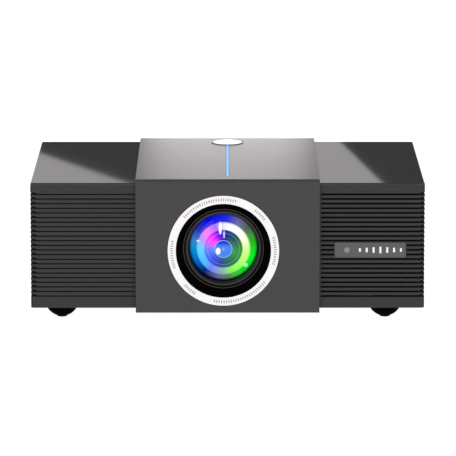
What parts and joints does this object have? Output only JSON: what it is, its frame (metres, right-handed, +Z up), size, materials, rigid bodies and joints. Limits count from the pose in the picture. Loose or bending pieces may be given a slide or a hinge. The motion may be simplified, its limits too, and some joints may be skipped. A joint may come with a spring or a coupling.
{
  "type": "home projector",
  "caption": "Wide low home projector with louvred side wings, a proud centre band carrying the lens, a top power button and adjustable front feet.",
  "frame": {"origin": "on the table, below the middle of the whole case", "axes": "+X to the viewer's right as the lens faces the viewer, +Y to the back, away from the lens, +Z up"},
  "size_m": [0.3, 0.209, 0.1113],
  "materials": {
    "tray_plastic": "fine moulded texture",
    "band_satin": "satin dark grey",
    "wing_plastic": "fine satin charcoal",
    "gloss_black": "high gloss black",
    "panel_plastic": "matt black",
    "white_trim": "satin white",
    "lens_black": "anti-reflection black",
    "badge_grey": "mid grey",
    "window_violet": "infrared window",
    "component_black": "moulded black",
    "button_silver": "silvered white",
    "bezel_grey": "satin",
    "light_blue": "translucent light guide",
    "board_green": "solder mask",
    "foot_rubber": "matt",
    "foot_plastic": "satin black",
    "brass": "machined",
    "screw_steel": "black zinc",
    "socket_metal": "nickel plate",
    "heat_aluminium": "extruded",
    "power_component": "moulded",
    "engine_black": "moulded black",
    "mirror_glass": "front-silvered",
    "panel_glass": "liquid crystal cell",
    "clear_glass": "polished",
    "coated_glass": "multi-layer coated",
    "copper": "bare copper",
    "fan_black": "moulded black",
    "filter_cloth": "fine mesh",
    "cone_paper": "pressed paper",
    "ring_grey": "satin"
  },
  "bodies": {
    "case": {"base_tray": "tray_plastic", "centre_cover": "band_satin", "left_wing": "wing_plastic", "right_wing": "wing_plastic", "left_top_plate": "gloss_black", "right_top_plate": "gloss_black", "io_panel": "panel_plastic", "lens_trim_ring": "white_trim", "lens_shroud": "lens_black", "badge_plate": "badge_grey", "ir_window": "window_violet", "ir_receiver": "component_black", "button_bezel": "bezel_grey", "light_guide": "light_blue", "top_board": "board_green", "foot_nuts": "brass", "rear_feet": "foot_rubber", "tripod_insert": "brass", "bracket_inserts": "brass", "case_screws": "screw_steel", "socket_shells": "socket_metal", "socket_tongues": "component_black", "audio_jacks": "component_black", "power_inlet": "component_black", "inlet_pins": "socket_metal", "main_board": "board_green", "processor_sink": "heat_aluminium", "power_board": "board_green", "power_parts": "power_component", "engine_case": "engine_black", "engine_lid": "engine_black", "fold_mirror": "mirror_glass", "lcd_panel": "panel_glass", "fresnel_lenses": "clear_glass", "heat_glass": "clear_glass", "condenser_lens": "clear_glass", "lamp_house": "heat_aluminium", "led_module": "copper", "heat_pipes": "copper", "heat_sink": "heat_aluminium", "right_fan_frame": "fan_black", "left_fan_frame": "fan_black", "intake_filter": "filter_cloth", "speaker_frames": "component_black", "speaker_cones": "cone_paper", "lens_mount": "engine_black"},
    "button": {"power_button": "button_silver"},
    "left_fan": {"left_fan_rotor": "fan_black"},
    "right_fan": {"right_fan_rotor": "fan_black"},
    "lens": {"lens_barrel": "lens_black", "retaining_ring": "ring_grey", "front_element": "coated_glass", "middle_element": "coated_glass", "rear_element": "coated_glass", "focus_drive": "engine_black", "focus_screw": "screw_steel"},
    "left_pad": {"foot_left_pad": "foot_rubber"},
    "left_foot": {"foot_left_screw": "foot_plastic"},
    "right_pad": {"foot_right_pad": "foot_rubber"},
    "right_foot": {"foot_right_screw": "foot_plastic"}
  },
  "joints": [
    {"name": "button_press", "type": "slide", "parent": "case", "child": "button", "axis": [0, 0, -1], "range_m": [0, 0.0008], "stiffness_N_per_m": 400, "springref_m": -0.0005},
    {"name": "left_fan_spin", "type": "hinge", "parent": "case", "child": "left_fan", "pos_m": [-0.138, 0.016, 0.0608], "axis": [1, 0, 0], "continuous": true},
    {"name": "right_fan_spin", "type": "hinge", "parent": "case", "child": "right_fan", "pos_m": [0.138, -0.0309, 0.0608], "axis": [1, 0, 0], "continuous": true},
    {"name": "focus_slide", "type": "slide", "parent": "case", "child": "lens", "axis": [0, -1, 0], "range_m": [-0.006, 0.006]},
    {"name": "left_foot_height", "type": "slide", "parent": "case", "child": "left_pad", "axis": [0, 0, -1], "range_m": [0, 0.00901]},
    {"name": "left_foot_turn", "type": "hinge", "parent": "left_pad", "child": "left_foot", "pos_m": [-0.1272, -0.0755, 0.011], "axis": [0, 0, -1], "range_deg": [0, 2160]},
    {"name": "right_foot_height", "type": "slide", "parent": "case", "child": "right_pad", "axis": [0, 0, -1], "range_m": [0, 0.00901]},
    {"name": "right_foot_turn", "type": "hinge", "parent": "right_pad", "child": "right_foot", "pos_m": [0.1208, -0.0755, 0.011], "axis": [0, 0, -1], "range_deg": [0, 2160]}
  ],
  "couplings": [
    {"joint": "left_foot_height", "follows": "left_foot_turn", "m_per_rad": 0.00023873},
    {"joint": "right_foot_height", "follows": "right_foot_turn", "m_per_rad": 0.00023873}
  ]
}
